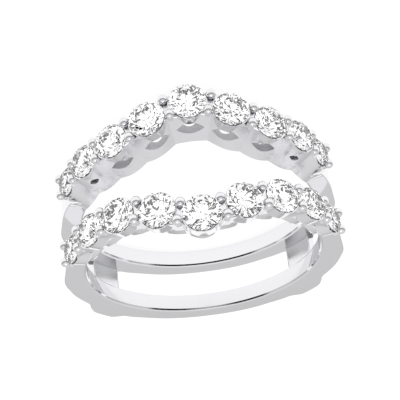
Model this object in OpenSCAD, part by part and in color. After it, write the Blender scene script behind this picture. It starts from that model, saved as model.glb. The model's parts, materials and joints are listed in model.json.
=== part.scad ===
// Ring guard: two contoured bands cast as one piece, each with nine graduated round brilliants in shared
// bead prongs over an open gallery. A second ring sits in the gap between the bands. Millimetres.
//
// Ring axes: X runs across the ring, Y from the finger's centre up to the middle stone, Z along the finger.
// lay_down() turns those axes so that the ring rests on its back band, with the stones towards -Y.

/* [Finger] */
// Diameter of the finger hole
finger_d = 17.3; // [16:0.1:19]

/* [Bands] */
// Gap between the two shanks, along the finger
band_gap = 2.48; // [2:0.02:3]
// Width of each shank, along the finger
shank_w = 1.4; // [1.2:0.05:1.8]
// Radial thickness of the shanks at the bottom
shank_t = 1.5; // [1.3:0.05:2]
// Radial thickness of the sides
side_t = 1.8; // [1.6:0.05:2.2]
// Radial thickness of the sides just below the last stones
shoulder_t = 1.55; // [1.4:0.05:2]

/* [Bridge bars] */
// Angle from the top of the ring to the near end of each bar
bar_from = 124; // [120:0.5:128]
// Angle from the top of the ring to the far end of each bar
bar_to = 138.5; // [136:0.5:142]
// Radial thickness of the bands where a bar joins them
bar_t = 2.45; // [2.3:0.05:2.8]
// Height of each bar's finger side above the finger hole
bar_clearance = 1.6; // [1.4:0.05:1.8]

/* [Stones] */
// Diameter of each middle stone
stone_d = 2.6; // [2.2:0.05:2.8]
// Space between two stones at the middle of a row, seen along the finger
stone_space = 0.35; // [0.3:0.01:0.5]
// Height of the middle stones' girdles above the finger hole
stone_rise = 2.92; // [2.7:0.02:3.2]
// Distance of the middle stones from the ring's centre plane
middle_out = 4.29; // [4:0.05:4.6]
// Distance of the last stones from the ring's centre plane
last_out = 2.66; // [2.5:0.02:3]

/* [Gallery] */
// Width of the base rail under a stone
rail_w = 2.1; // [1.8:0.05:2.3]
// Radial height of the base rail
rail_h = 0.85; // [0.7:0.05:1]
// Height of the upper rail that cups each stone
cup_h = 1.05; // [0.9:0.05:1.2]
// Width of the rim that a cup shows round its stone
cup_wall = 0.09; // [0.06:0.01:0.12]
// How far the stones stand further out than the base rail
lean_out = 0.5; // [0.3:0.05:0.6]
// Diameter of the prong beads
bead_d = 0.74; // [0.6:0.02:0.9]

/* [Hidden] */
$fn = 32;

BACK = -1;
FRONT = 1;
SIDES = [BACK, FRONT];
LAST = 4;                     // stones on each side of the middle one
PLACES = [-LAST:LAST];        // stone places along a row, the middle stone at 0

finger_r = finger_d / 2;
shank_out = band_gap / 2 + shank_w;
bore_reach = 2 * middle_out;

// The row of stones follows an arc in the ring's plane, wider than the finger's own circle
crest_share = 1.121;          // its radius, as a share of the finger hole's
table_turn_share = 0.79;      // how much of its arc angle a stone's table turns through
crest_r = crest_share * finger_r;
crest_y = finger_r + stone_rise - crest_r;
stone_step = 2 * asin((stone_d + stone_space) / 2 / crest_r);

// Diameters from the middle stone to the last one, as shares of stone_d
SIZE_SHARE = [1, 0.98, 0.96, 0.92, 0.83];

// Along the row, the bands bow away from each other towards the middle by a bell curve
bow_share = 0.429;            // its reach to either side, as a share of the finger hole's radius
bow_power = 1.77;
bow_reach = bow_share * finger_r;

// A brilliant's proportions, as shares of its diameter
table_share = 0.56;
crown_share = 0.15;
girdle_share = 0.03;
pavilion_share = 0.43;
star_share = 0.78;            // radius of the star tips, as a share of the girdle's
half_share = 0.24;            // radius where the lower halves end, as a share of the girdle's

seat_gap = 0.02;              // clearance between a stone and its metal
rim_drop = 0.05;              // height of the girdle above the rim of its cup
cup_taper = 0.16;             // how much narrower a cup is at its foot
wall_root = 0.3;              // height above the finger hole where the gallery wall starts, inside the base rail
wall_drop = 0.1;              // how far the top of the gallery wall lies below the girdles
wall_half = 0.8;              // half the width of the gallery wall
bead_out = 0.65;              // distance of a bead from the row's centre line
bead_rise = 0.13;             // height of a bead's centre above the girdle
end_bead_share = 0.85;        // place of the end beads past the last stone's centre, as a share of its radius
end_past = 0.12;              // how far the head's end wall stands past the last stones' cups
light_hole_share = 0.4;       // diameter of the light hole under a stone, as a share of the stone's
gallery_relief = 0.02;        // how much further out the base rails' finger side lies than the plain sides'

// Half lengths of the windows between the rails from the middle stone to the last one, as shares of the stone's
// diameter. The last stone has none.
WINDOW_SHARE = [0.37, 0.38, 0.36, 0.2, 0];
window_steps = 8;

// Angles from the top: the last stone, where the gallery ends and where the plain side begins
last_place = atan2(crest_r * sin(LAST * stone_step), crest_y + crest_r * cos(LAST * stone_step));
gallery_end = last_place + 4;
side_start = gallery_end + 2;

// Height of the head's flat end walls above the finger's centre
head_end = crest_y + crest_r * cos(LAST * stone_step)
    - (SIZE_SHARE[LAST] * stone_d / 2 + cup_wall + end_past) * sin(LAST * stone_step);

scallop_share = 0.22;         // how much narrower the base rail is between two stones
sweep_angle = 1.5;            // angle between two sections of a band
sweep_inset = 0.4;            // how far a band's sections reach into the finger hole before it is cut
bar_inset = 0.1;              // how far a bridge bar reaches into each band

// Outer surface of a band: angle from the top, radial thickness
THICKNESS = [
    [0, rail_h],
    [last_place, rail_h],
    [gallery_end, shoulder_t],
    [side_start + 15, shoulder_t],
    [96, side_t],
    [106, side_t],
    [117.5, side_t * 0.95],
    [bar_from + 4, bar_t],
    [bar_to - 3, bar_t],
    [bar_to + 3, side_t * 1.02],
    [153, (side_t + shank_t) / 2],
    [180, shank_t]
];

function ease(t) = t * t * (3 - 2 * t);
function mix(a, b, t) = a + (b - a) * t;
function clamp01(t) = min(max(t, 0), 1);
function unit(v) = v / norm(v);
function polar(r, angle) = [r * sin(angle), r * cos(angle)];

// Eased value of a table of [place, value] rows at place x
function along_table(table, x, i = 0) =
    x <= table[i + 1][0] || i == len(table) - 2
        ? mix(table[i][1], table[i + 1][1], ease((x - table[i][0]) / (table[i + 1][0] - table[i][0])))
        : along_table(table, x, i + 1);

// Distance from the centre plane of the row at place x across the ring
function bow(x) = last_out + (middle_out - last_out) * exp(-pow(abs(x) / bow_reach, bow_power));

// Place number k may be a fraction, for what sits between two stones
function crest_angle(k) = k * stone_step;
function crest_point(k, side) =
    let (x = crest_r * sin(crest_angle(k)))
    [x, crest_y + crest_r * cos(crest_angle(k)), side * bow(x)];
function table_angle(k) = table_turn_share * crest_angle(k);
function outward(k) = [sin(table_angle(k)), cos(table_angle(k)), 0];
function row_direction(k, side) = crest_point(k + 0.5, side) - crest_point(k - 0.5, side);
function stone_size(k) = stone_d * SIZE_SHARE[abs(k)];

// Height of a brilliant's star tips above its girdle's lower edge, on the planes of its kites
function star_height(d) =
    girdle_share * d + crown_share * d * (1 - star_share * cos(22.5)) / (1 - table_share);

// The same row seen from the finger's centre at an angle from the top
function crest_distance(angle) = crest_y * cos(angle) + sqrt(pow(crest_r, 2) - pow(crest_y * sin(angle), 2));
function place_at(angle) =
    let (d = crest_distance(angle))
    atan2(d * sin(angle), d * cos(angle) - crest_y) / stone_step;
function base_middle(angle) = bow(crest_distance(angle) * sin(angle)) - lean_out;
function base_half(angle) = rail_w / 2 * (1 - scallop_share * (1 - abs(cos(180 * place_at(angle)))));

// Faces of a band at an angle from the top: towards the gap, away from it, and outwards
function plain_share(angle) = ease(clamp01((angle - gallery_end) / (side_start - gallery_end)));
function gap_face(angle) =
    mix(base_middle(min(angle, 90)) - base_half(min(angle, 90)), band_gap / 2, plain_share(angle));
function outer_face(angle) =
    mix(base_middle(min(angle, 90)) + base_half(min(angle, 90)), shank_out, plain_share(angle));
function rim(angle) = finger_r + along_table(THICKNESS, angle);

// A point under place k on the surface of radius r about the finger's centre
function foot_point(k, side, r) =
    let (crest = crest_point(k, side), angle = atan2(crest[0], crest[1]))
    [r * sin(angle), r * cos(angle), crest[2] - side * lean_out];

// Resting on the back band: the floor touches the rim of the middle stone's cup and the bottom of the shank
cup_out = middle_out + stone_d / 2 + cup_wall;
cup_y = finger_r + stone_rise - rim_drop;
shank_r = finger_r + shank_t;
rest_tilt = atan2(cup_out - shank_out, cup_y + shank_r);
rest_lift = shank_r * sin(rest_tilt) + shank_out * cos(rest_tilt);

// The origin lies on the floor, midway between the shank's far edge and the back middle stone's table
far_reach = shank_r * cos(rest_tilt) + shank_out * sin(rest_tilt);
table_y = finger_r + stone_rise + (girdle_share + crown_share) * stone_d;
table_out = middle_out + table_share * stone_d / 2;
near_reach = table_y * cos(rest_tilt) + table_out * sin(rest_tilt);

module lay_down() {
    translate([0, (near_reach - far_reach) / 2, rest_lift])
        rotate([-rest_tilt, 0, 0])
            rotate([0, 0, 180])
                children();
}

// Puts children at a point, with their Z along z and their X as near as it can be to x
module place(point, x, z) {
    up = unit(z);
    across = unit(cross(up, x));
    along = cross(across, up);
    multmatrix([
        [along[0], across[0], up[0], point[0]],
        [along[1], across[1], up[1], point[1]],
        [along[2], across[2], up[2], point[2]],
        [0, 0, 0, 1]
    ])
        children();
}

// Puts children at place k of a row, with Z out of the stone's table and X along the row
module at_place(k, side) {
    place(crest_point(k, side), row_direction(k, side), outward(k))
        children();
}

// Faces between the four-cornered sections of a sweep, from one section to the next
function sweep_faces(sections, points) = [
    for (i = [0:sections - 1])
        for (j = [0:3])
            let (
                a = i * 4 + j,
                b = i * 4 + (j + 1) % 4,
                c = ((i + 1) * 4 + (j + 1) % 4) % points,
                d = ((i + 1) * 4 + j) % points
            )
            for (face = [[a, c, b], [a, d, c]])
                face
];

// One band as a closed sweep of four-cornered sections
module band(side) {
    turns = 360 / sweep_angle;
    points = [
        for (i = [0:turns - 1])
            let (angle = i * sweep_angle, from_top = min(angle, 360 - angle))
            for (corner = [
                [finger_r - sweep_inset, gap_face(from_top)],
                [rim(from_top), gap_face(from_top)],
                [rim(from_top), outer_face(from_top)],
                [finger_r - sweep_inset, outer_face(from_top)]
            ])
                [polar(corner[0], angle)[0], polar(corner[0], angle)[1], corner[1]]
    ];
    mirror([0, 0, side == FRONT ? 0 : 1])
        polyhedron(points, sweep_faces(turns, len(points)));
}

// The wall between the base rail and the stones, which fills the space between the cups. Flat end walls close
// the head on the left and on the right.
module gallery_wall(side) {
    steps = ceil(side_start / sweep_angle) + 4;
    points = [
        for (i = [-steps:steps])
            let (
                angle = i * sweep_angle,
                top = crest_distance(abs(angle)) - wall_drop,
                foot_z = base_middle(abs(angle)),
                top_z = foot_z + lean_out
            )
            for (corner = [
                [finger_r + wall_root, foot_z - wall_half],
                [top, top_z - wall_half],
                [top, top_z + wall_half],
                [finger_r + wall_root, foot_z + wall_half]
            ])
                [polar(corner[0], angle)[0], polar(corner[0], angle)[1], corner[1]]
    ];
    end = len(points) - 4;
    caps = [[0, 1, 2, 3], [end + 3, end + 2, end + 1, end]];
    mirror([0, 0, side == FRONT ? 0 : 1])
        difference() {
            polyhedron(points, concat(sweep_faces(2 * steps, len(points)), caps));
            translate([-finger_d, head_end - finger_d, 0])
                cube([2 * finger_d, finger_d, finger_d]);
        }
}

// The bar that joins the two bands on their outer side, flush with them
module bridge_bar() {
    steps = [bar_from:sweep_angle / 2:bar_to];
    outer = [for (angle = steps) polar(rim(angle), angle)];
    inner = [for (angle = steps) polar(finger_r + bar_clearance, bar_from + bar_to - angle)];
    linear_extrude(band_gap + 2 * bar_inset, center = true)
        polygon(concat(outer, inner));
}

// The upper rail: a cup whose rim shows round the stone
module cup(k, side) {
    r = stone_size(k) / 2 + cup_wall;
    at_place(k, side)
        translate([0, 0, -rim_drop - cup_h])
            cylinder(h = cup_h, r1 = r - cup_taper, r2 = r);
}

// Height of the girdle at place k above radius r, along the line from the finger's centre
function height_over(k, r) = norm(crest_point(k, FRONT) - foot_point(k, FRONT, r));

// Puts children at the foot of place k at radius r, with Z along the gallery's lean and X along the row
module at_foot(k, side, r)
    place(foot_point(k, side, r), row_direction(k, side), crest_point(k, side) - foot_point(k, side, r))
        children();

// The window between the two rails under a stone: two arcs that meet in a point at each end, cut right through
module window(k, side) {
    top = height_over(k, finger_r + rail_h) - rim_drop - cup_h;
    half = WINDOW_SHARE[abs(k)] * stone_size(k);
    shares = [for (i = [-window_steps:window_steps]) i / window_steps];
    arc = [for (t = shares) top / 2 * (1 - t * t)];
    bend = [for (t = shares) top / 2 - pow(half * t, 2) / (2 * (finger_r + rail_h))];
    last = len(shares) - 1;
    at_foot(k, side, finger_r + rail_h)
        rotate([90, 0, 0])
            linear_extrude(2 * stone_d, center = true)
                polygon(concat(
                    [for (i = [0:last]) [half * shares[i], bend[i] - arc[i]]],
                    [for (i = [last - 1:-1:1]) [half * shares[i], bend[i] + arc[i]]]
                ));
}

// Two beads, one at each edge of the row, at a distance along the row from place k
module bead_pair(k, side, along = 0) {
    at_place(k, side)
        for (edge = [-1, 1])
            translate([along, edge * bead_out, bead_rise])
                sphere(d = bead_d);
}

// What a stone and its clearance take out of the metal, with the light hole below it
module seat(k, side) {
    d = stone_size(k);
    top = (girdle_share + crown_share) * d + seat_gap;
    at_place(k, side)
        rotate_extrude()
            polygon([
                [0, -pavilion_share * d - 2 * seat_gap],
                [d / 2 + seat_gap, -seat_gap],
                [d / 2 + seat_gap, girdle_share * d + seat_gap],
                [star_share * d / 2 + seat_gap, star_height(d) + seat_gap],
                [table_share * d / 2 + seat_gap, top],
                [0, top]
            ]);
    at_foot(k, side, finger_r - sweep_inset)
        cylinder(h = height_over(k, finger_r - sweep_inset) - pavilion_share / 2 * d, d = light_hole_share * d);
}

// The finger hole, with the small relief of the base rails from one end of the gallery to the other
module finger_hole() {
    cylinder(h = 2 * bore_reach, r = finger_r, center = true, $fn = 96);
    intersection() {
        cylinder(h = 2 * bore_reach, r = finger_r + gallery_relief, center = true, $fn = 96);
        linear_extrude(2 * bore_reach, center = true)
            polygon([[0, 0], polar(finger_d, -gallery_end), polar(finger_d, 0), polar(finger_d, gallery_end)]);
    }
}

module guard_frame() {
    color("#D8D9DC")
        lay_down()
            difference() {
                union() {
                    for (side = SIDES) {
                        band(side);
                        gallery_wall(side);
                        for (k = PLACES)
                            cup(k, side);
                        for (k = [-LAST:LAST - 1])
                            bead_pair(k + 0.5, side);
                        for (k = [-LAST, LAST])
                            bead_pair(k, side, sign(k) * end_bead_share * stone_size(k) / 2);
                    }
                    for (turn = [0, 1])
                        mirror([turn, 0, 0])
                            bridge_bar();
                }
                for (side = SIDES) {
                    for (k = PLACES)
                        seat(k, side);
                    for (k = [1 - LAST:LAST - 1])
                        window(k, side);
                }
                finger_hole();
            }
}

// A round brilliant of diameter d with its girdle's lower edge at height 0: a table, eight stars, eight kites
// and sixteen halves above the girdle, and sixteen halves and eight kites below it
module brilliant(d) {
    r = d / 2;
    table_r = table_share * r;
    crown_h = crown_share * d;
    girdle_h = girdle_share * d;
    pavilion_h = pavilion_share * d;
    star_r = star_share * r;
    half_r = half_share * r;
    star_h = star_height(d);
    half_h = -pavilion_h * (1 - half_r * cos(22.5) / r);
    points = concat(
        [for (i = [0:7]) concat(polar(table_r, 45 * i), girdle_h + crown_h)],
        [for (i = [0:7]) concat(polar(star_r, 45 * i + 22.5), star_h)],
        [for (i = [0:15]) concat(polar(r, 22.5 * i), girdle_h)],
        [for (i = [0:15]) concat(polar(r, 22.5 * i), 0)],
        [for (i = [0:7]) concat(polar(half_r, 45 * i + 22.5), half_h)],
        [[0, 0, -pavilion_h]]
    );
    table = 0;
    star = 8;
    upper = 16;
    lower = 32;
    half = 48;
    culet = 56;
    faces = concat(
        [[for (i = [0:7]) table + i]],
        [for (i = [0:7]) [table + i, star + i, table + (i + 1) % 8]],
        [for (i = [0:7]) [table + i, star + (i + 7) % 8, upper + 2 * i, star + i]],
        [for (i = [0:7]) [star + i, upper + 2 * i, upper + 2 * i + 1]],
        [for (i = [0:7]) [star + i, upper + 2 * i + 1, upper + (2 * i + 2) % 16]],
        [for (i = [0:15]) [upper + i, lower + i, lower + (i + 1) % 16, upper + (i + 1) % 16]],
        [for (i = [0:7]) [half + i, lower + 2 * i + 1, lower + 2 * i]],
        [for (i = [0:7]) [half + i, lower + (2 * i + 2) % 16, lower + 2 * i + 1]],
        [for (i = [0:7]) [culet, half + i, lower + 2 * i, half + (i + 7) % 8]]
    );
    polyhedron(points, faces);
}

module stone(k, side) {
    color("#F4F6F8")
        lay_down()
            at_place(k, side)
                brilliant(stone_size(k));
}

guard_frame();
for (k = PLACES) {
    stone(k, BACK);
    stone(k, FRONT);
}
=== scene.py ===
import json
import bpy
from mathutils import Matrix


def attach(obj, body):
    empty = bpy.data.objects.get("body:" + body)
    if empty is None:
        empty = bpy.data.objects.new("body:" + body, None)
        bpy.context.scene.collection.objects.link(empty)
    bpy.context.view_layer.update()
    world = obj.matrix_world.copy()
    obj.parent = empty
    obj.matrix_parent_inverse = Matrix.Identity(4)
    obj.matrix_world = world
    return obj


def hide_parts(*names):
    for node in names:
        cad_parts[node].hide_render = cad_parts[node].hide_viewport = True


bl_info = {
    "name": "Ring Guard Looks",
    "version": (1, 0, 0),
    "blender": (4, 5, 0),
    "location": "View3D > Sidebar > Ring guard",
    "description": "Dresses the packed ring guard in polished white gold and cut stones, in a pale studio",
    "category": "Object",
}

from math import acos, asin, atan2, cos, degrees, pi, radians, sin, sqrt

import bpy
import numpy as np
from mathutils import Matrix

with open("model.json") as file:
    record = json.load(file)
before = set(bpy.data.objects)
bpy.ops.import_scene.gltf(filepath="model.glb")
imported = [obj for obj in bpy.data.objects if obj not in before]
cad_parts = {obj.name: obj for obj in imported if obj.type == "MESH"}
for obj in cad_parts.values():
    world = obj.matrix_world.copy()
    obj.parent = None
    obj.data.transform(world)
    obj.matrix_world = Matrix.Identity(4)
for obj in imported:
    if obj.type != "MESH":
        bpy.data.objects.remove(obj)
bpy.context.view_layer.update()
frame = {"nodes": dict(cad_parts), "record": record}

MM = 0.001
BACK = -1
FRONT = 1
SIDES = (BACK, FRONT)
LAST = 4  # stones on each side of the middle one
STONES = np.arange(-LAST, LAST + 1)
BETWEEN = np.arange(-LAST, LAST) + 0.5

# The ring's own axes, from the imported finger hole: across the ring, up to the middle stone, along the finger
HOLE = next(m for m in frame["record"]["mounts"] if m["name"] == "finger_hole")
FINGER_R = HOLE["dims"]["r_mm"] * MM
RING_CENTRE = np.array(HOLE["pos_m"])
ALONG_FINGER = np.array(HOLE["axis"]) / np.linalg.norm(HOLE["axis"])
ACROSS = np.array([-1.0, 0.0, 0.0])
RING_AXES = np.stack([ACROSS, np.cross(ALONG_FINGER, ACROSS), ALONG_FINGER])

# The row of stones: its arc, its bow along the finger and the depth of a pavilion, as in the part
CREST_SHARE = 1.121
TABLE_TURN_SHARE = 0.79
SIZE_SHARE = np.array([1, 0.98, 0.96, 0.92, 0.83])
BOW_SHARE = 0.429
BOW_POWER = 1.77
PAVILION_SHARE = 0.43

# Fits and small forms of the casting
SEAT_GAP = 0.02 * MM
RIM_DROP = 0.05 * MM
CUP_TAPER = 0.16 * MM
WALL_ROOT = 0.3 * MM
WALL_DROP = 0.1 * MM
WALL_INSET = 0.005 * MM
WALL_TOP_ROUNDING = 0.06 * MM
POLE_R = 0.01 * MM
BAR_OVERLAP = 0.1 * MM
BAR_ROUNDING = 0.09 * MM
STEM_SHARE = 0.75
STEM_H = 0.5 * MM
WINDOW_SHARE = np.array([0.37, 0.38, 0.36, 0.2])
BEAD_RISE = 0.13 * MM
END_BEAD_ALONG = 0.85
END_PAST = 0.12 * MM
LIGHT_HOLE_SHARE = 0.4
SCALLOP = 0.22
GALLERY_PAST = 4  # degrees from the last stone to the end of the gallery
SIDE_PAST = 6  # degrees from the last stone to the start of the plain side

# How finely the surfaces are sampled
BAND_SECTIONS = 540
WALL_SECTIONS = 240
CORNER_POINTS = 3
ROUND_POINTS = 72
SHARP_ANGLE = radians(38)
BAND_SHARP_ANGLE = radians(15)
NORMAL_WEIGHT = 80


class GuardSizes(bpy.types.PropertyGroup):
    """The sizes of the ring guard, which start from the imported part's."""

    band_gap: bpy.props.FloatProperty(
        name="Band gap",
        description="Gap between the two shanks, along the finger",
        default=2.48 * MM,
        unit="LENGTH",
    )
    shank_w: bpy.props.FloatProperty(
        name="Shank width",
        description="Width of each shank, along the finger",
        default=1.4 * MM,
        unit="LENGTH",
    )
    shank_t: bpy.props.FloatProperty(
        name="Shank thickness",
        description="Thickness of the shanks at the bottom",
        default=1.5 * MM,
        unit="LENGTH",
    )
    side_t: bpy.props.FloatProperty(
        name="Side thickness",
        description="Thickness of the ring's sides",
        default=1.8 * MM,
        unit="LENGTH",
    )
    shoulder_t: bpy.props.FloatProperty(
        name="Shoulder thickness",
        description="Thickness just below the last stones",
        default=1.55 * MM,
        unit="LENGTH",
    )
    bar_from: bpy.props.FloatProperty(
        name="Bar start",
        description="Angle from the top to a bar's near end",
        default=radians(124),
        subtype="ANGLE",
    )
    bar_to: bpy.props.FloatProperty(
        name="Bar end",
        description="Angle from the top to a bar's far end",
        default=radians(138.5),
        subtype="ANGLE",
    )
    bar_t: bpy.props.FloatProperty(
        name="Bar thickness",
        description="Thickness of the bands where a bar joins them",
        default=2.45 * MM,
        unit="LENGTH",
    )
    bar_clearance: bpy.props.FloatProperty(
        name="Bar clearance",
        description="Height of the bars above the finger hole",
        default=1.6 * MM,
        unit="LENGTH",
    )
    stone_d: bpy.props.FloatProperty(
        name="Middle stone",
        description="Diameter of the middle stones",
        default=2.6 * MM,
        unit="LENGTH",
    )
    stone_space: bpy.props.FloatProperty(
        name="Stone spacing",
        description="Space between two stones at the middle",
        default=0.35 * MM,
        unit="LENGTH",
    )
    stone_rise: bpy.props.FloatProperty(
        name="Stone height",
        description="Height of the middle girdles above the hole",
        default=2.92 * MM,
        unit="LENGTH",
    )
    middle_out: bpy.props.FloatProperty(
        name="Middle bow",
        description="Distance of the middle stones from the centre plane",
        default=4.29 * MM,
        unit="LENGTH",
    )
    last_out: bpy.props.FloatProperty(
        name="End bow",
        description="Distance of the last stones from the centre plane",
        default=2.66 * MM,
        unit="LENGTH",
    )
    rail_w: bpy.props.FloatProperty(
        name="Base rail width",
        description="Width of the base rail under a stone",
        default=2.1 * MM,
        unit="LENGTH",
    )
    rail_h: bpy.props.FloatProperty(
        name="Base rail height",
        description="Radial height of the base rail",
        default=0.85 * MM,
        unit="LENGTH",
    )
    cup_h: bpy.props.FloatProperty(
        name="Upper rail height",
        description="Height of the rail that cups each stone",
        default=1.05 * MM,
        unit="LENGTH",
    )
    cup_wall: bpy.props.FloatProperty(
        name="Cup rim",
        description="Width of the rim that a cup shows round its stone",
        default=0.09 * MM,
        unit="LENGTH",
    )
    lean_out: bpy.props.FloatProperty(
        name="Gallery lean",
        description="How far stones stand out past the base rail",
        default=0.5 * MM,
        unit="LENGTH",
    )
    bead_d: bpy.props.FloatProperty(
        name="Bead diameter",
        description="Diameter of the prong beads",
        default=0.74 * MM,
        unit="LENGTH",
    )
    bead_out: bpy.props.FloatProperty(
        name="Bead offset",
        description="Distance of a bead from the row's centre line",
        default=0.65 * MM,
        unit="LENGTH",
    )
    edge_r: bpy.props.FloatProperty(
        name="Edge rounding",
        description="Rounding that polishing leaves on the edges",
        default=0.09 * MM,
        unit="LENGTH",
    )
    comfort_r: bpy.props.FloatProperty(
        name="Inner chamfer",
        description="Chamfer of the edges along the finger",
        default=0.18 * MM,
        unit="LENGTH",
    )


class GuardFinishes(bpy.types.PropertyGroup):
    """The colours of the ring guard and its studio, as sRGB hex values."""

    gold: bpy.props.StringProperty(
        name="White gold",
        description="Reflected colour of rhodium-plated white gold",
        default="#EDEDEF",
    )
    # Painted shade: the darker grey that the gold's colour turns to in the gallery's recesses, by ambient
    # occlusion
    painted_recess_shade: bpy.props.StringProperty(
        name="Recesses",
        description="The same gold where no buff reaches, inside the gallery",
        default="#939498",
    )
    diamond: bpy.props.StringProperty(
        name="Diamond",
        description="Body colour of the stones",
        default="#FFFFFF",
    )
    floor: bpy.props.StringProperty(
        name="Floor",
        description="Colour of the studio floor",
        default="#FAFAFA",
    )


def linear(code):
    """An sRGB hex value as a linear colour with alpha 1."""
    c = np.array([int(code[i : i + 2], 16) for i in (1, 3, 5)]) / 255
    return (*np.where(c <= 0.04045, c / 12.92, ((c + 0.055) / 1.055) ** 2.4), 1.0)


def add_node(tree, kind, settings=None, inputs=None, links=None):
    """Adds a node of a kind, with its own settings, its socket values and the sockets that feed it."""
    node = tree.nodes.new(kind)
    for name, value in (settings or {}).items():
        setattr(node, name, value)
    for name, value in (inputs or {}).items():
        node.inputs[name].default_value = value
    for name, socket in (links or {}).items():
        tree.links.new(socket, node.inputs[name])
    return node


def new_material(name):
    """An empty node material, its tree and its output node."""
    material = bpy.data.materials.new(name)
    material.use_nodes = True
    material.node_tree.nodes.clear()
    return material, material.node_tree, add_node(material.node_tree, "ShaderNodeOutputMaterial")


def white_gold():
    """Rhodium-plated white gold, cast, buffed and plated: a cool mirror with the faint waves that a felt
    buff leaves. Its colour carries painted shade in the recesses: ambient occlusion mixes in a darker grey
    there."""
    if "rhodium_plated_white_gold" in bpy.data.materials:
        return bpy.data.materials["rhodium_plated_white_gold"]
    material, tree, out = new_material("rhodium_plated_white_gold")
    place = add_node(tree, "ShaderNodeTexCoord")
    waves = add_node(
        tree, "ShaderNodeTexNoise",
        inputs={"Scale": 1 / (1.2 * MM), "Detail": 2},
        links={"Vector": place.outputs["Object"]},
    )
    buffing = add_node(
        tree, "ShaderNodeTexNoise",
        inputs={"Scale": 1 / (0.15 * MM), "Detail": 3},
        links={"Vector": place.outputs["Object"]},
    )
    polish = add_node(
        tree,
        "ShaderNodeMapRange",
        inputs={"From Min": 0.35, "From Max": 0.65, "To Min": 0.045, "To Max": 0.1},
        links={"Value": buffing.outputs["Fac"]},
    )
    edges = add_node(tree, "ShaderNodeBevel", settings={"samples": 6}, inputs={"Radius": 0.02 * MM})
    bump = add_node(
        tree,
        "ShaderNodeBump",
        inputs={"Strength": 0.12, "Distance": 0.01 * MM},
        links={"Height": waves.outputs["Fac"], "Normal": edges.outputs["Normal"]},
    )
    # Painted shade: ambient occlusion within 0.9 mm darkens the gold's colour towards a darker grey in
    # recesses and crevices
    painted_recess_shade = add_node(
        tree, "ShaderNodeAmbientOcclusion", settings={"samples": 8}, inputs={"Distance": 0.9 * MM}
    )
    shade_towards_recesses = add_node(
        tree,
        "ShaderNodeMapRange",
        settings={"interpolation_type": "SMOOTHSTEP"},
        inputs={"From Min": 0.1, "From Max": 0.45},
        links={"Value": painted_recess_shade.outputs["AO"]},
    )
    finishes = bpy.context.scene.guard_finishes
    colour = add_node(
        tree,
        "ShaderNodeMix",
        settings={"data_type": "RGBA"},
        inputs={6: linear(finishes.painted_recess_shade), 7: linear(finishes.gold)},
        links={"Factor": shade_towards_recesses.outputs["Result"]},
    )
    metal = add_node(
        tree,
        "ShaderNodeBsdfPrincipled",
        inputs={"Metallic": 1.0},
        links={
            "Base Color": colour.outputs[2],
            "Roughness": polish.outputs["Result"],
            "Normal": bump.outputs["Normal"],
        },
    )
    tree.links.new(metal.outputs["BSDF"], out.inputs["Surface"])
    return material


def satin_gold():
    """The same gold where only a brush reaches, between the cups and between the bands: its fine scratches
    soften what it mirrors to an even light grey."""
    if "satin_white_gold" in bpy.data.materials:
        return bpy.data.materials["satin_white_gold"]
    material, tree, out = new_material("satin_white_gold")
    place = add_node(tree, "ShaderNodeTexCoord")
    scratches = add_node(
        tree, "ShaderNodeTexNoise",
        inputs={"Scale": 1 / (0.1 * MM), "Detail": 3},
        links={"Vector": place.outputs["Object"]},
    )
    brushing = add_node(
        tree,
        "ShaderNodeMapRange",
        inputs={"From Min": 0.35, "From Max": 0.65, "To Min": 0.2, "To Max": 0.24},
        links={"Value": scratches.outputs["Fac"]},
    )
    metal = add_node(
        tree,
        "ShaderNodeBsdfPrincipled",
        inputs={"Base Color": linear(bpy.context.scene.guard_finishes.gold), "Metallic": 1.0},
        links={"Roughness": brushing.outputs["Result"]},
    )
    tree.links.new(metal.outputs["BSDF"], out.inputs["Surface"])
    return material


def as_cast_gold():
    """The same gold inside the windows, left as it came from the mould: matt, so that the openings read as
    grey."""
    if "as_cast_white_gold" in bpy.data.materials:
        return bpy.data.materials["as_cast_white_gold"]
    material, tree, out = new_material("as_cast_white_gold")
    place = add_node(tree, "ShaderNodeTexCoord")
    grain = add_node(
        tree, "ShaderNodeTexNoise",
        inputs={"Scale": 1 / (0.05 * MM), "Detail": 3},
        links={"Vector": place.outputs["Object"]},
    )
    bump = add_node(
        tree, "ShaderNodeBump",
        inputs={"Strength": 0.3, "Distance": 0.005 * MM},
        links={"Height": grain.outputs["Fac"]},
    )
    metal = add_node(
        tree,
        "ShaderNodeBsdfPrincipled",
        inputs={
            "Base Color": linear(bpy.context.scene.guard_finishes.gold),
            "Metallic": 1.0,
            "Roughness": 0.55,
        },
        links={"Normal": bump.outputs["Normal"]},
    )
    tree.links.new(metal.outputs["BSDF"], out.inputs["Surface"])
    return material


def cut_diamond():
    """Colourless diamond, cut and polished: flat mirror-smooth facets that bend light by the stone's own
    index."""
    if "cut_diamond" in bpy.data.materials:
        return bpy.data.materials["cut_diamond"]
    material, tree, out = new_material("cut_diamond")
    stone = add_node(
        tree,
        "ShaderNodeBsdfPrincipled",
        inputs={
            "Base Color": linear(bpy.context.scene.guard_finishes.diamond),
            "Roughness": 0.0,
            "IOR": 2.417,
            "Transmission Weight": 1.0,
        },
    )
    tree.links.new(stone.outputs["BSDF"], out.inputs["Surface"])
    return material


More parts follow.
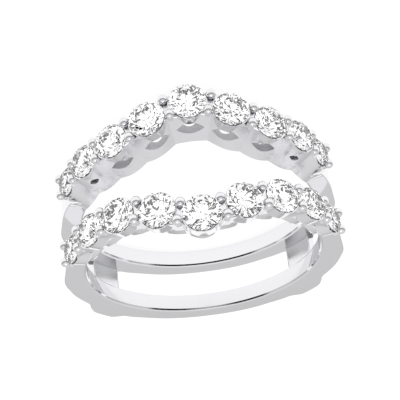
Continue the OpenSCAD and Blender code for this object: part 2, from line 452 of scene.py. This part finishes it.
def light_table():
    """Opal acrylic of a light table: matt white, lit through from below so that hardly a shadow stays on
    it."""
    material, tree, out = new_material("opal_acrylic")
    place = add_node(tree, "ShaderNodeTexCoord")
    grain = add_node(
        tree, "ShaderNodeTexNoise",
        inputs={"Scale": 1 / (0.8 * MM), "Detail": 4},
        links={"Vector": place.outputs["Object"]},
    )
    bump = add_node(
        tree, "ShaderNodeBump",
        inputs={"Strength": 0.05, "Distance": 0.02 * MM},
        links={"Height": grain.outputs["Fac"]},
    )
    acrylic = add_node(
        tree,
        "ShaderNodeBsdfPrincipled",
        inputs={
            "Base Color": linear("#6A6A6A"),
            "Roughness": 0.9,
            "Emission Color": linear(bpy.context.scene.guard_finishes.floor),
            "Emission Strength": 1.0,
        },
        links={"Normal": bump.outputs["Normal"]},
    )
    tree.links.new(acrylic.outputs["BSDF"], out.inputs["Surface"])
    return material


def unit(v):
    return v / np.linalg.norm(v, axis=-1, keepdims=True)


def ease(t):
    """Smooth step from 0 to 1, level at both ends."""
    t = np.clip(t, 0, 1)
    return t * t * (3 - 2 * t)


def to_row(points):
    """Points in the ring's axes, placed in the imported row's frame."""
    return RING_CENTRE + points @ RING_AXES


def crest_r():
    return CREST_SHARE * FINGER_R


def crest_y(sizes):
    return FINGER_R + sizes.stone_rise - crest_r()


def stone_step(sizes):
    """Angle between neighbouring stones about the middle of the crest arc."""
    return 2 * asin((sizes.stone_d + sizes.stone_space) / 2 / crest_r())


def bow(sizes, x):
    """Distance of the row from the centre plane: a bell curve of the place across the ring."""
    bell = np.exp(-((np.abs(x) / (BOW_SHARE * FINGER_R)) ** BOW_POWER))
    return sizes.last_out + (sizes.middle_out - sizes.last_out) * bell


def crest_point(sizes, k, side):
    """The girdle's centre at place k of a row: a point of the crest arc, bowed out along the finger."""
    turn = np.asarray(k, float) * stone_step(sizes)
    x = crest_r() * np.sin(turn)
    return np.stack([x, crest_y(sizes) + crest_r() * np.cos(turn), side * bow(sizes, x)], -1)


def outward(sizes, k):
    """Direction that a stone's table faces at place k."""
    turn = TABLE_TURN_SHARE * np.asarray(k, float) * stone_step(sizes)
    return np.stack([np.sin(turn), np.cos(turn), np.zeros_like(turn)], -1)


def row_direction(sizes, k, side):
    return crest_point(sizes, k + 0.5, side) - crest_point(sizes, k - 0.5, side)


def stone_size(sizes, k):
    return sizes.stone_d * SIZE_SHARE[np.abs(k).astype(int)]


def foot_point(sizes, k, side, r):
    """The point under place k at radius r from the finger's centre, set in by the gallery's lean."""
    crest = crest_point(sizes, k, side)
    turn = np.arctan2(crest[..., 0], crest[..., 1])
    return np.stack([r * np.sin(turn), r * np.cos(turn), crest[..., 2] - side * sizes.lean_out], -1)


def axes_at(along, up):
    """Right-handed axes, one set for each place: Z along up, X as near to along as it can be."""
    z = unit(up)
    y = unit(np.cross(z, along))
    return np.stack([np.cross(y, z), y, z], -2)


def spread(points, axes, origins):
    """The same local points put at many places: one copy for each set of axes and origin."""
    return np.einsum("...pi,...ij->...pj", points, axes) + origins[..., None, :]


def grid_faces(rows, columns, close_rows=True, close_columns=True, start=0):
    """Quads of a grid of points, whose rows or columns may close on themselves."""
    i = np.arange(rows if close_rows else rows - 1)[:, None]
    j = np.arange(columns if close_columns else columns - 1)[None, :]
    a = i * columns + j
    b = i * columns + (j + 1) % columns
    c = (i + 1) % rows * columns + (j + 1) % columns
    d = (i + 1) % rows * columns + j
    return start + np.stack(np.broadcast_arrays(a, b, c, d), -1).reshape(-1, 4)


def capped_faces(rows, columns):
    """Quads of a stack of closed rings, with a pole point below the first ring and above the last one.

    The poles are the last two points, and each is the tip of a fan of triangles."""
    sides = grid_faces(rows, columns, close_rows=False)
    j = np.arange(columns)
    after = (j + 1) % columns
    low, high = rows * columns, rows * columns + 1
    top = (rows - 1) * columns
    foot = np.stack([np.full(columns, low), after, j], -1)
    crown = np.stack([np.full(columns, high), top + j, top + after], -1)
    return sides, foot, crown


def signed_volume(points, triangles):
    a, b, c = (points[triangles[:, i]] for i in range(3))
    return np.einsum("ij,ij->i", a, np.cross(b, c)).sum() / 6


def as_triangles(faces):
    return np.concatenate([f[:, [0, i, i + 1]] for f in faces for i in range(1, f.shape[1] - 1)])


def shells(points, faces):
    """Joins equal closed shells: points holds one row of points for each shell, faces the shell's own face
    arrays.

    A shell that comes out inside out, as a mirrored one does, has its faces turned round."""
    points = np.asarray(points).reshape(-1, *points.shape[-2:])
    count = points.shape[1]
    triangles = as_triangles(faces)
    made = []
    for n, shell in enumerate(points):
        turned = signed_volume(shell - shell.mean(0), triangles) < 0
        made += [(f[:, ::-1] if turned else f) + n * count for f in faces]
    return points.reshape(-1, 3), made


def add_piece(name, parts, material):
    """A mesh piece from (points, faces) parts in the ring's axes, smooth but for edges over the sharp
    angle."""
    points, faces, start = [], [], 0
    for part_points, part_faces in parts:
        points.append(to_row(part_points))
        faces += [face for f in part_faces for face in (f + start).tolist()]
        start += len(part_points)
    mesh = bpy.data.meshes.new(name)
    mesh.from_pydata(np.concatenate(points).tolist(), [], faces)
    mesh.materials.append(material)
    mesh.polygons.foreach_set("use_smooth", np.ones(len(mesh.polygons), bool))
    mesh.set_sharp_from_angle(angle=SHARP_ANGLE)
    mesh.update()
    piece = bpy.data.objects.new(name, mesh)
    bpy.context.scene.collection.objects.link(piece)
    return piece


def ride_as_metal(piece):
    """The piece stands for the casting: it rides on the ring and hides the plain solid."""
    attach(piece, "root")
    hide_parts("guard_frame")


def thickness_table(sizes, last_place):
    """Outer surface of a band: angle from the top in degrees, radial thickness."""
    bar_from, bar_to = degrees(sizes.bar_from), degrees(sizes.bar_to)
    side_start = last_place + SIDE_PAST
    return np.array([
        [0, sizes.rail_h],
        [last_place, sizes.rail_h],
        [last_place + GALLERY_PAST, sizes.shoulder_t],
        [side_start + 15, sizes.shoulder_t],
        [96, sizes.side_t],
        [106, sizes.side_t],
        [117.5, sizes.side_t * 0.95],
        [bar_from + 4, sizes.bar_t],
        [bar_to - 3, sizes.bar_t],
        [bar_to + 3, sizes.side_t * 1.02],
        [153, (sizes.side_t + sizes.shank_t) / 2],
        [180, sizes.shank_t],
    ])


def along_table(table, x):
    """Eased value of a table of [place, value] rows at the places x."""
    i = np.clip(np.searchsorted(table[:, 0], x, side="right") - 1, 0, len(table) - 2)
    t = (x - table[i, 0]) / (table[i + 1, 0] - table[i, 0])
    return table[i, 1] + (table[i + 1, 1] - table[i, 1]) * ease(t)


def crest_distance(sizes, angle):
    """Distance from the finger's centre to the arc of the girdles, in a direction given from the top."""
    rise = crest_y(sizes)
    return rise * np.cos(angle) + np.sqrt(crest_r() ** 2 - (rise * np.sin(angle)) ** 2)


def place_at(sizes, angle):
    """Which place of the row lies in a direction given from the top: 0 at the middle stone, 4 at the last
    one."""
    reach = crest_distance(sizes, angle)
    return np.arctan2(reach * np.sin(angle), reach * np.cos(angle) - crest_y(sizes)) / stone_step(sizes)


def rail_half(sizes, place):
    """Half the base rail's width: it swells under each stone and is narrowest between two."""
    return sizes.rail_w / 2 * (1 - SCALLOP * (1 - np.abs(np.cos(pi * place))))


def last_stone_angle(sizes):
    x, y, _ = crest_point(sizes, LAST, FRONT)
    return degrees(atan2(x, y))


def band_faces(sizes, from_top):
    """Distances of a band's gap face and outer face from the centre plane, and its outer radius, at angles
    from the top. The base rail follows the bow of the stones and swells under each one; the plain side
    takes over from it by a smooth step."""
    angle = np.radians(np.minimum(from_top, 90))
    place = place_at(sizes, angle)
    middle = bow(sizes, crest_distance(sizes, angle) * np.sin(angle)) - sizes.lean_out
    half = rail_half(sizes, place)
    last_place = last_stone_angle(sizes)
    plain = ease((from_top - last_place - GALLERY_PAST) / (SIDE_PAST - GALLERY_PAST))
    gap = (middle - half) * (1 - plain) + sizes.band_gap / 2 * plain
    outer = (middle + half) * (1 - plain) + (sizes.band_gap / 2 + sizes.shank_w) * plain
    rim = FINGER_R + along_table(thickness_table(sizes, last_place), from_top)
    return gap, outer, rim


def rounded_section(low_r, high_r, low_f, high_f, roundings):
    """Rounded rectangles in the plane of radius and finger direction, one for each angle: each corner is a
    quarter circle, cut in flats, about a point set in by its rounding. Arguments are columns, roundings has
    one column a corner."""
    r = np.stack([low_r, high_r, high_r, low_r], -1)[..., None]
    f = np.stack([low_f, low_f, high_f, high_f], -1)[..., None]
    side_r = np.array([-1, 1, 1, -1])[:, None]
    side_f = np.array([-1, -1, 1, 1])[:, None]
    turn = np.radians(180 + 90 * np.arange(4)[:, None] + np.linspace(0, 90, CORNER_POINTS)[None, :])
    rounding = roundings[..., None]
    radius = r - side_r * rounding + rounding * np.cos(turn)
    finger = f - side_f * rounding + rounding * np.sin(turn)
    return radius.reshape(len(r), -1), finger.reshape(len(f), -1)


def band_shell(sizes, side):
    """One band: a rounded rectangle carried once round the finger."""
    angle = np.arange(BAND_SECTIONS) * 2 * pi / BAND_SECTIONS
    from_top = np.degrees(np.minimum(angle, 2 * pi - angle))
    gap, outer, rim = band_faces(sizes, from_top)
    edge = np.full_like(angle, sizes.edge_r)
    inner = np.full_like(angle, sizes.comfort_r)
    radius, finger = rounded_section(
        np.full_like(angle, FINGER_R), rim, gap, outer, np.stack([inner, edge, edge, inner], -1)
    )
    points = np.stack([radius * np.sin(angle)[:, None], radius * np.cos(angle)[:, None], side * finger], -1)
    return points.reshape(-1, 3), [grid_faces(BAND_SECTIONS, 4 * CORNER_POINTS)]


def revolve(profile, closed=False):
    """Lathes local profiles of (radius, height) points about Z: each point runs once round the axis. A
    closed profile makes a ring; an open one gets a pole at each end. profile has one row of points for each
    shell."""
    turn = np.linspace(0, 2 * pi, ROUND_POINTS, endpoint=False)
    r, z = profile[..., 0, None], profile[..., 1, None]
    points = np.stack(np.broadcast_arrays(r * np.cos(turn), r * np.sin(turn), z), -1)
    count, rows = points.shape[0], points.shape[1]
    points = points.reshape(count, rows * ROUND_POINTS, 3)
    if closed:
        return points, [grid_faces(rows, ROUND_POINTS)]
    poles = np.zeros((count, 2, 3))
    poles[:, :, 2] = profile[:, [0, -1], 1]
    return np.concatenate([points, poles], 1), capped_faces(rows, ROUND_POINTS)


def profile_rows(*corners):
    """Profiles from their corners: each corner is a radius and a height, numbers or one value a stone."""
    every = np.ones(len(STONES))
    return np.stack([np.stack([r * every, z * every], -1) for r, z in corners], 1)


def at_stones(sizes, side, local):
    """Local points of each stone's own shape, put at the stones with Z out of their tables."""
    axes = axes_at(row_direction(sizes, STONES, side), outward(sizes, STONES))
    return spread(local, axes, crest_point(sizes, STONES, side))


def leaning(sizes, places, side, r):
    """Feet of places at a radius, their axes with Z along the gallery's lean, and the girdle's height over
    them."""
    foot = foot_point(sizes, places, side, r)
    rise = crest_point(sizes, places, side) - foot
    return foot, axes_at(row_direction(sizes, places, side), rise), np.linalg.norm(rise, axis=-1)


def wall_shell(sizes, side):
    """The gallery wall from the base rail to the girdles: a rounded rectangle as wide as the rail, which
    leans out with the stones from the rail's top, carried along the row between two flat end walls that lie
    level."""
    low = FINGER_R + WALL_ROOT
    x, y, _ = crest_point(sizes, LAST, FRONT)
    past = stone_size(sizes, np.array(LAST)) / 2 + sizes.cup_wall + END_PAST
    level = y - past * x / crest_r()
    top_end = last_stone_angle(sizes) * pi / 180
    for _ in range(30):
        top_end = acos(level / (crest_distance(sizes, top_end) - WALL_DROP))
    t = np.linspace(-1, 1, WALL_SECTIONS)
    high = crest_distance(sizes, np.abs(t) * top_end) - WALL_DROP
    half = rail_half(sizes, place_at(sizes, np.abs(t) * top_end)) - WALL_INSET
    radius, finger = rounded_section(
        np.full_like(t, low), high, -half, half,
        np.array([POLE_R, WALL_TOP_ROUNDING, WALL_TOP_ROUNDING, POLE_R]) * np.ones((len(t), 1)),
    )
    share = (radius - low) / (high - low)[:, None]
    angle = t[:, None] * np.arccos(level / (low + share * (high[-1] - low)))
    foot_angle = np.abs(t) * acos(level / low)
    foot_f = bow(sizes, crest_distance(sizes, foot_angle) * np.sin(foot_angle)) - sizes.lean_out
    top_f = bow(sizes, crest_distance(sizes, np.abs(t) * top_end) * np.sin(np.abs(t) * top_end))
    bend = FINGER_R + sizes.rail_h
    lean = (radius - bend) / (high - bend)[:, None]
    finger = finger + foot_f[:, None] + lean * (top_f - foot_f)[:, None]
    points = np.stack([radius * np.sin(angle), radius * np.cos(angle), side * finger], -1)
    columns = 4 * CORNER_POINTS
    loop = np.arange(columns)[None]
    caps = [loop[:, ::-1], loop + (WALL_SECTIONS - 1) * columns]
    return shells(points.reshape(1, -1, 3), [grid_faces(WALL_SECTIONS, columns, close_rows=False), *caps])


def cup_shells(sizes, side):
    """The upper rails: tapered rings, a little narrower at the foot, with the cone of the stone's pavilion
    sunk into their top and a light hole below it."""
    d = stone_size(sizes, STONES)
    rim = d / 2 + sizes.cup_wall
    seat_r = d / 2 + SEAT_GAP
    depth = PAVILION_SHARE * d + SEAT_GAP
    hole_r = LIGHT_HOLE_SHARE * d / 2
    foot = -RIM_DROP - sizes.cup_h
    local, faces = revolve(profile_rows(
        (hole_r, foot + 0.04 * MM),
        (hole_r + 0.04 * MM, foot),
        (rim - CUP_TAPER - 0.1 * MM, foot),
        (rim - CUP_TAPER - 0.03 * MM, foot + 0.03 * MM),
        (rim - CUP_TAPER + 0.02 * MM, foot + 0.1 * MM),
        (rim - 0.02 * MM, -RIM_DROP - 0.08 * MM),
        (rim - 0.006 * MM, -RIM_DROP - 0.012 * MM),
        (rim - 0.02 * MM, -RIM_DROP),
        (seat_r * (1 - (RIM_DROP - SEAT_GAP) / depth), -RIM_DROP),
        (hole_r, -SEAT_GAP - depth * (1 - hole_r / seat_r)),
    ), closed=True)
    return shells(at_stones(sizes, side, local), faces)


def seat_cutter(sizes, side):
    """What the stones take out of the metal: the pavilion's cone and the girdle's round."""
    d = stone_size(sizes, STONES)
    seat_r = d / 2 + SEAT_GAP
    local, faces = revolve(profile_rows(
        (POLE_R, -PAVILION_SHARE * d - SEAT_GAP),
        (seat_r, -SEAT_GAP),
        (seat_r, 0.5 * MM),
        (POLE_R, 0.5 * MM),
    ))
    return shells(at_stones(sizes, side, local), faces)


def light_hole_cutter(sizes, side):
    """Rods through the base rail under each stone, along the gallery's lean, up into the seats."""
    foot, axes, height = leaning(sizes, STONES, side, FINGER_R - 0.5 * MM)
    d = stone_size(sizes, STONES)
    r = LIGHT_HOLE_SHARE * d / 2
    top = height - 0.5 * PAVILION_SHARE * d
    local, faces = revolve(profile_rows((0.1 * MM, 0.0), (r, 0.0), (r, top), (0.1 * MM, top)))
    return shells(spread(local, axes, foot), faces)


def window_cutter(sizes, side):
    """The windows between the rails: lenses of two arcs, bent with the rail below them, carried across the
    band."""
    places = STONES[1:-1]
    low = FINGER_R + sizes.rail_h
    foot, axes, height = leaning(sizes, places, side, low)
    opening = (height - RIM_DROP - sizes.cup_h)[:, None]
    half = (WINDOW_SHARE[np.abs(places)] * stone_size(sizes, places))[:, None]
    t = np.linspace(-1, 1, 41)
    x = half * t
    middle = opening / 2 - x**2 / (2 * low)
    arc = opening / 2 * (1 - t**2)
    x = np.concatenate([x, x[:, -2:0:-1]], 1)
    z = np.concatenate([middle - arc, (middle + arc)[:, -2:0:-1]], 1)
    y = np.array([-1.0, 1.0])[:, None] * sizes.stone_d
    points = np.stack(np.broadcast_arrays(x[:, None], y, z[:, None]), -1)
    columns = x.shape[1]
    loop = np.arange(columns)[None]
    local = points.reshape(len(places), -1, 3)
    faces = [grid_faces(2, columns, close_rows=False), loop[:, ::-1], loop + columns]
    return shells(spread(local, axes, foot), faces)


def carve(piece, shells_out):
    """Takes closed shells out of a piece one after the other and leaves the result as the piece's own mesh.
    Each shell comes with the material that it leaves on the faces it cuts."""
    cutters = []
    for shell, finish in shells_out:
        cutter = add_piece(piece.name + "_cutter", [shell], finish)
        cut = piece.modifiers.new("carve", "BOOLEAN")
        cut.operation = "DIFFERENCE"
        cut.solver = "MANIFOLD"
        cut.material_mode = "TRANSFER"
        cut.object = cutter
        cutters.append(cutter)
    done = bpy.data.meshes.new_from_object(piece.evaluated_get(bpy.context.evaluated_depsgraph_get()))
    if len(done.polygons) < len(piece.data.polygons) / 2:
        raise RuntimeError(piece.name + " was lost when it was carved")
    piece.modifiers.clear()
    piece.data = done
    for cutter in cutters:
        bpy.data.objects.remove(cutter)


class GUARD_OT_bands(bpy.types.Operator):
    """Makes the two bands: shanks, sides and the open gallery with the cups of the stones"""

    bl_idname = "guard.bands"
    bl_label = "Bands"

    def execute(self, context):
        sizes = context.scene.guard_sizes
        for side, name in ((BACK, "back_band"), (FRONT, "front_band")):
            points, faces = band_shell(sizes, side)
            piece = add_piece(name, [shells(points[None], faces)], white_gold())
            wall = add_piece(name + "_wall", [wall_shell(sizes, side)], satin_gold())
            cups = add_piece(name + "_cups", [cup_shells(sizes, side)], white_gold())
            holes = (light_hole_cutter(sizes, side), white_gold())
            windows = (window_cutter(sizes, side), as_cast_gold())
            carve(piece, [holes])
            carve(wall, [(seat_cutter(sizes, side), white_gold()), windows, holes])
            with context.temp_override(active_object=piece, selected_editable_objects=[piece, wall, cups]):
                bpy.ops.object.join()
            piece.data.set_sharp_from_angle(angle=BAND_SHARP_ANGLE)
            even = piece.modifiers.new("even shading", "WEIGHTED_NORMAL")
            even.keep_sharp = True
            even.weight = NORMAL_WEIGHT
            ride_as_metal(piece)
        return {"FINISHED"}


def bar_shell(sizes, turn):
    """One bridge bar: a sector of a tube outside the engagement ring's room, flush with the bands outside."""
    angle = np.radians(np.linspace(degrees(sizes.bar_from), degrees(sizes.bar_to), 40))
    _, _, rim = band_faces(sizes, np.degrees(angle))
    half = sizes.band_gap / 2 + BAR_OVERLAP
    low = np.full_like(angle, FINGER_R + sizes.bar_clearance)
    r = np.stack([low, rim, rim, low], -1)
    f = np.array([-half, -half, half, half]) * np.ones_like(r)
    points = np.stack([turn * r * np.sin(angle)[:, None], r * np.cos(angle)[:, None], f], -1).reshape(-1, 3)
    last = (len(angle) - 1) * 4
    ends = np.array([[3, 2, 1, 0], [last, last + 1, last + 2, last + 3]])
    return shells(points[None], [grid_faces(len(angle), 4, close_rows=False), ends])


class GUARD_OT_bars(bpy.types.Operator):
    """Makes the two bars that join the bands on their outer side"""

    bl_idname = "guard.bars"
    bl_label = "Bridge bars"

    def execute(self, context):
        sizes = context.scene.guard_sizes
        piece = add_piece("bridge_bars", [bar_shell(sizes, 1), bar_shell(sizes, -1)], satin_gold())
        round_off = piece.modifiers.new("polished edges", "BEVEL")
        round_off.width = BAR_ROUNDING
        round_off.segments = 4
        round_off.limit_method = "ANGLE"
        round_off.angle_limit = radians(50)
        even = piece.modifiers.new("even shading", "WEIGHTED_NORMAL")
        even.weight = NORMAL_WEIGHT
        ride_as_metal(piece)
        return {"FINISHED"}


def bead_profile(bead_r, stem_r, stem_h):
    """A prong seen from the side: a stem below a ball, as (radius, height) points from the foot to the
    crown."""
    joint = acos(min(stem_r / bead_r, 1))
    turn = np.linspace(-joint, pi / 2, 22)
    ball = np.stack([bead_r * np.cos(turn), bead_r * np.sin(turn)], -1)
    stem = np.array([[0.001 * MM, -stem_h], [stem_r, -stem_h], [stem_r, -stem_h / 2]])
    ball[-1, 0] = 0.001 * MM
    return np.concatenate([stem, ball])[None]


def bead_shells(sizes, side):
    """The shared prongs: a ball at each edge of the row between two stones, and past the last stones."""
    bead_r = sizes.bead_d / 2
    parts = []
    ends = np.array([-LAST, LAST])
    local, faces = revolve(bead_profile(bead_r, STEM_SHARE * bead_r, STEM_H))
    local = local + np.array([0, 0, BEAD_RISE])
    for places, past in (
        (BETWEEN, np.zeros(len(BETWEEN))),
        (ends, np.sign(ends) * END_BEAD_ALONG * stone_size(sizes, ends) / 2),
    ):
        axes = axes_at(row_direction(sizes, places, side), outward(sizes, places))
        for edge in (-1, 1):
            shift = past[:, None] * axes[:, 0] + edge * sizes.bead_out * axes[:, 1]
            parts.append(shells(spread(local, axes, crest_point(sizes, places, side) + shift), faces))
    return parts


class GUARD_OT_beads(bpy.types.Operator):
    """Makes the bead prongs"""

    bl_idname = "guard.beads"
    bl_label = "Bead prongs"

    def execute(self, context):
        sizes = context.scene.guard_sizes
        parts = [part for side in SIDES for part in bead_shells(sizes, side)]
        piece = add_piece("bead_prongs", parts, white_gold())
        ride_as_metal(piece)
        return {"FINISHED"}


class GUARD_OT_stones(bpy.types.Operator):
    """Finishes the cut stones"""

    bl_idname = "guard.stones"
    bl_label = "Stones"

    def execute(self, context):
        for name, node in frame["nodes"].items():
            if "_stone_" in name:
                node.data.materials.clear()
                node.data.materials.append(cut_diamond())
        return {"FINISHED"}


def smooth_step(tree, socket, low, high):
    """0 below low and 1 above high of a value, with a soft change between them."""
    step = add_node(
        tree,
        "ShaderNodeMapRange",
        settings={"interpolation_type": "SMOOTHSTEP"},
        inputs={"From Min": low, "From Max": high},
        links={"Value": socket},
    )
    return step.outputs["Result"]


def combine(tree, operation, a, b):
    """The result socket of a sum between two sockets, or a socket and a number."""
    node = add_node(tree, "ShaderNodeMath", settings={"operation": operation})
    for place, value in enumerate((a, b)):
        if isinstance(value, bpy.types.NodeSocket):
            tree.links.new(value, node.inputs[place])
        else:
            node.inputs[place].default_value = value
    return node.outputs[0]


def grey_ramp(tree, socket, stops):
    """A brightness that runs through (place, level) stops as the value goes from 0 to 1."""
    ramp = add_node(tree, "ShaderNodeValToRGB", links={"Fac": socket})
    elements = ramp.color_ramp.elements
    while len(elements) < len(stops):
        elements.new(0.5)
    for element, (place, level) in zip(elements, stops):
        element.position = place
        element.color = (level, level, level, 1)
    return ramp.outputs["Color"]


# Brightness of the studio at heights from the horizon (0) to overhead (1). On the side of the stones a long
# black card hangs across the tent's white, and it draws the black lines on the shanks' finger-side edges.
# Behind the ring the tent is an even light grey.
STONES_SIDE = (
    (0.0, 0.6), (0.22, 0.65), (0.245, 0.01), (0.32, 0.01), (0.345, 0.7), (0.5, 0.8), (0.7, 0.75), (0.85, 0.8),
)
FAR_SIDE = ((0.0, 0.5), (0.1, 0.55), (0.17, 0.66), (0.42, 0.76), (0.66, 0.8), (0.85, 0.8))

# What the stones show: white panels with black strips like spokes round the way the stones face, as the
# number of strips, the share that is black, where they start and end from that way (0) to its side (1), and
# the panels' level
STRIPS = 12
STRIP_SHARE = 0.38
STRIPS_FROM = 0.22
STRIPS_TO = 0.85
PANEL_WHITE = 1.5


def studio_world():
    """A white tent round the ring. The light that comes out of the stones sees it with black strips, which
    give the cut its dark streaks, and all else sees the smooth tent."""
    world = bpy.data.worlds.new("studio_tent")
    world.use_nodes = True
    tree = world.node_tree
    tree.nodes.clear()
    place = add_node(tree, "ShaderNodeTexCoord")
    parts = add_node(tree, "ShaderNodeSeparateXYZ", links={"Vector": place.outputs["Generated"]})
    height = combine(tree, "DIVIDE", combine(tree, "ARCSINE", parts.outputs["Z"], 0.0), pi / 2)
    far = smooth_step(tree, parts.outputs["Y"], -0.15, 0.15)
    tent = add_node(tree, "ShaderNodeMix", settings={"data_type": "RGBA"}, links={"Factor": far})
    tree.links.new(grey_ramp(tree, height, STONES_SIDE), tent.inputs[6])
    tree.links.new(grey_ramp(tree, height, FAR_SIDE), tent.inputs[7])
    turn = combine(tree, "ARCTAN2", parts.outputs["X"], parts.outputs["Z"])
    strip = combine(tree, "FRACT", combine(tree, "MULTIPLY", turn, STRIPS / (2 * pi)), 0.0)
    facing = combine(tree, "MULTIPLY", parts.outputs["Y"], -1.0)
    aside = combine(tree, "DIVIDE", combine(tree, "ARCCOSINE", facing, 0.0), pi / 2)
    past_start = combine(tree, "GREATER_THAN", aside, STRIPS_FROM)
    ring = combine(tree, "MULTIPLY", past_start, combine(tree, "LESS_THAN", aside, STRIPS_TO))
    strips = combine(tree, "MULTIPLY", combine(tree, "LESS_THAN", strip, STRIP_SHARE), ring)
    cards = add_node(
        tree,
        "ShaderNodeMix",
        settings={"data_type": "RGBA"},
        inputs={6: (PANEL_WHITE, PANEL_WHITE, PANEL_WHITE, 1), 7: (0.0, 0.0, 0.0, 1)},
        links={"Factor": strips},
    )
    path = add_node(tree, "ShaderNodeLightPath")
    seen = add_node(
        tree,
        "ShaderNodeMix",
        settings={"data_type": "RGBA"},
        links={"Factor": path.outputs["Is Transmission Ray"], 6: tent.outputs[2], 7: cards.outputs[2]},
    )
    glow = add_node(tree, "ShaderNodeBackground", inputs={"Strength": 1.0}, links={"Color": seen.outputs[2]})
    add_node(tree, "ShaderNodeOutputWorld", links={"Surface": glow.outputs["Background"]})
    return world


def add_softbox(name, place, aim, size, power):
    """A square softbox at a place, aimed at a point, all in metres in the row's frame."""
    data = bpy.data.lights.new(name, "AREA")
    data.shape = "SQUARE"
    data.size = size
    data.energy = power
    lamp = bpy.data.objects.new(name, data)
    bpy.context.scene.collection.objects.link(lamp)
    back = unit(np.array(place) - np.array(aim))
    right = unit(np.cross([0.0, 0.0, 1.0] if abs(back[2]) < 0.95 else [0.0, 1.0, 0.0], back))
    lamp.matrix_world = pose_matrix(right, np.cross(back, right), back, np.array(place))


def pose_matrix(right, up, back, place):
    m = np.eye(4)
    m[:3, 0], m[:3, 1], m[:3, 2], m[:3, 3] = right, up, back, place
    return Matrix(m.tolist())


# The softbox overhead: its place, size and power
LAMP_PLACE = (0.0, -0.04, 0.3)
LAMP_SIZE = 0.13
LAMP_POWER = 0.08
FLOOR_HALF = 1.5

# The photograph's view of the ring: height above the plane of the ring, turn about it, roll, distance and aim
VIEW_HEIGHT = radians(62.5)
VIEW_TURN = radians(-2.89)
VIEW_ROLL = radians(-4.23)
VIEW_DISTANCE = 95 * MM
VIEW_SHIFT = (-0.0184 * MM, 2.3595 * MM)
VIEW_FOCAL_PIXELS = 1273.78
PHOTO_WIDTH_PIXELS = 400


def view_axes():
    """The photograph's right, up and backward directions in the ring's axes."""
    back = np.array([
        sin(VIEW_TURN) * cos(VIEW_HEIGHT), sin(VIEW_HEIGHT), cos(VIEW_TURN) * cos(VIEW_HEIGHT)
    ])
    level = np.array([cos(VIEW_TURN), 0.0, -sin(VIEW_TURN)])
    rise = np.cross(back, level)
    right = cos(VIEW_ROLL) * level + sin(VIEW_ROLL) * rise
    up = cos(VIEW_ROLL) * rise - sin(VIEW_ROLL) * level
    return right, up, back


def add_camera():
    """The camera at the photograph's angle to the ring: tipped from the finger's axis towards the stones."""
    right, up, back = view_axes()
    eye = VIEW_DISTANCE * back + VIEW_SHIFT[0] * right + VIEW_SHIFT[1] * up
    data = bpy.data.cameras.new("photo_view")
    data.sensor_width = 36.0
    data.lens = 36.0 * VIEW_FOCAL_PIXELS / PHOTO_WIDTH_PIXELS
    data.clip_start = 1 * MM
    data.clip_end = 10.0
    camera = bpy.data.objects.new("photo_view", data)
    bpy.context.scene.collection.objects.link(camera)
    camera.matrix_world = pose_matrix(right @ RING_AXES, up @ RING_AXES, back @ RING_AXES, to_row(eye))
    bpy.context.scene.camera = camera


class GUARD_OT_stage(bpy.types.Operator):
    """Makes the floor, the lights, the surroundings and the camera"""

    bl_idname = "guard.stage"
    bl_label = "Studio"

    def execute(self, context):
        half = FLOOR_HALF
        corners = [(-half, -half, 0), (half, -half, 0), (half, half, 0), (-half, half, 0)]
        mesh = bpy.data.meshes.new("studio_floor")
        mesh.from_pydata(corners, [], [(0, 1, 2, 3)])
        mesh.materials.append(light_table())
        floor = bpy.data.objects.new("studio_floor", mesh)
        context.scene.collection.objects.link(floor)
        context.scene.world = studio_world()
        add_softbox("softbox_overhead", LAMP_PLACE, (0, 0, 0), LAMP_SIZE, LAMP_POWER)
        context.scene.view_settings.view_transform = "Standard"
        context.scene.cycles.use_denoising = True
        context.scene.cycles.max_bounces = 24
        context.scene.cycles.transmission_bounces = 24
        context.scene.cycles.glossy_bounces = 8
        context.scene.cycles.caustics_reflective = False
        context.scene.cycles.caustics_refractive = False
        add_camera()
        return {"FINISHED"}


class GUARD_PT_panel(bpy.types.Panel):
    """Lists the steps that dress the ring guard"""

    bl_idname = "GUARD_PT_panel"
    bl_label = "Ring guard"
    bl_space_type = "VIEW_3D"
    bl_region_type = "UI"
    bl_category = "Ring guard"

    def draw(self, context):
        for operator in OPERATORS:
            self.layout.operator(operator.bl_idname)
        for group in (context.scene.guard_sizes, context.scene.guard_finishes):
            for name in group.bl_rna.properties.keys():
                if name not in ("rna_type", "name"):
                    self.layout.prop(group, name)


OPERATORS = (GUARD_OT_stage, GUARD_OT_bands, GUARD_OT_bars, GUARD_OT_beads, GUARD_OT_stones)
CLASSES = (GuardSizes, GuardFinishes, *OPERATORS, GUARD_PT_panel)


def register():
    for cls in CLASSES:
        bpy.utils.register_class(cls)
    bpy.types.Scene.guard_sizes = bpy.props.PointerProperty(type=GuardSizes)
    bpy.types.Scene.guard_finishes = bpy.props.PointerProperty(type=GuardFinishes)


def unregister():
    del bpy.types.Scene.guard_finishes
    del bpy.types.Scene.guard_sizes
    for cls in reversed(CLASSES):
        bpy.utils.unregister_class(cls)


def main():
    register()
    for operator in OPERATORS:
        group, name = operator.bl_idname.split(".")
        getattr(getattr(bpy.ops, group), name)()


if __name__ == "__main__":
    main()
